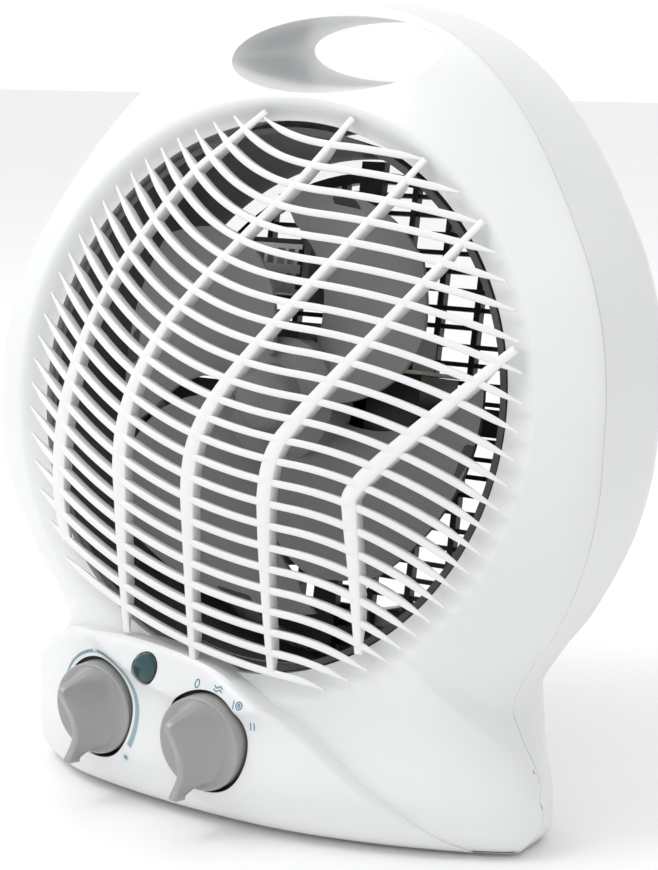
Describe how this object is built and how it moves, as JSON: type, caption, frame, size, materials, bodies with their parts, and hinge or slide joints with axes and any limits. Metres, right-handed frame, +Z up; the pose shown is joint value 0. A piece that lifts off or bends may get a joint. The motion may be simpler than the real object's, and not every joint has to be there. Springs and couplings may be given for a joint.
{
  "type": "space heater",
  "caption": "Upright round fan heater with a domed bar grille, leaning disc body, carry slot, oval foot and knobs for heat and thermostat.",
  "frame": {"origin": "centre of the bounding box in X and Y, on the floor under the rubber feet", "axes": "+Z up, -Y towards the front where the air comes out, +X to the right seen from the front"},
  "size_m": [0.2272, 0.133, 0.2545],
  "materials": {
    "white_shell": "satin gloss",
    "black_plastic": "matte",
    "fan_grey": "satin",
    "knob_grey": "satin",
    "steel": "zinc plated",
    "lamination": "oiled laminations",
    "copper_wire": "enamelled winding",
    "bronze": "sintered",
    "cream_plastic": "matte",
    "fin_aluminium": "plain",
    "ceramic_frame": "unglazed",
    "teal_lens": "clear gloss",
    "lamp_glass": "clear",
    "foot_rubber": "matte"
  },
  "bodies": {
    "housing": {"front_shell": "white_shell", "rear_shell": "white_shell", "front_grille": "white_shell", "rear_grille": "black_plastic", "air_duct": "black_plastic", "motor_mount": "black_plastic", "thermostat_body": "black_plastic", "selector_body": "black_plastic", "thermal_cutout": "black_plastic", "base_plate": "black_plastic", "cable_gland": "black_plastic", "motor_front_bracket": "steel", "motor_rear_bracket": "steel", "motor_screw_1": "steel", "motor_screw_2": "steel", "shell_screw_1": "steel", "shell_screw_2": "steel", "shell_screw_3": "steel", "shell_screw_4": "steel", "motor_stator": "lamination", "motor_coil": "copper_wire", "front_bush": "bronze", "rear_bush": "bronze", "motor_bobbin": "cream_plastic", "cord_clamp": "cream_plastic", "terminal_block": "cream_plastic", "thermal_fuse": "cream_plastic", "heating_bank_upper": "fin_aluminium", "heating_bank_lower": "fin_aluminium", "rating_plate": "fin_aluminium", "bank_holder_upper": "ceramic_frame", "bank_holder_lower": "ceramic_frame", "indicator_lens": "teal_lens", "indicator_lamp": "lamp_glass", "rubber_foot_1": "foot_rubber", "rubber_foot_2": "foot_rubber", "rubber_foot_3": "foot_rubber", "rubber_foot_4": "foot_rubber"},
    "fan": {"fan_impeller": "fan_grey", "fan_clip": "steel", "motor_shaft": "steel", "motor_rotor": "lamination"},
    "thermostat_dial": {"thermostat_knob": "knob_grey", "thermostat_shaft": "steel"},
    "selector_dial": {"selector_knob": "knob_grey", "selector_shaft": "steel"}
  },
  "joints": [
    {"name": "fan_spin", "type": "hinge", "parent": "housing", "child": "fan", "pos_m": [0, -0.0191, 0.134], "axis": [0, 0.9781, -0.2079], "continuous": true},
    {"name": "thermostat_turn", "type": "hinge", "parent": "housing", "child": "thermostat_dial", "pos_m": [-0.0483, -0.0437, 0.0307], "axis": [0, 1, 0], "range_deg": [-150, 110]},
    {"name": "selector_turn", "type": "hinge", "parent": "housing", "child": "selector_dial", "pos_m": [-0.002, -0.0491, 0.0292], "axis": [0, 1, 0], "range_deg": [-30, 60]}
  ]
}
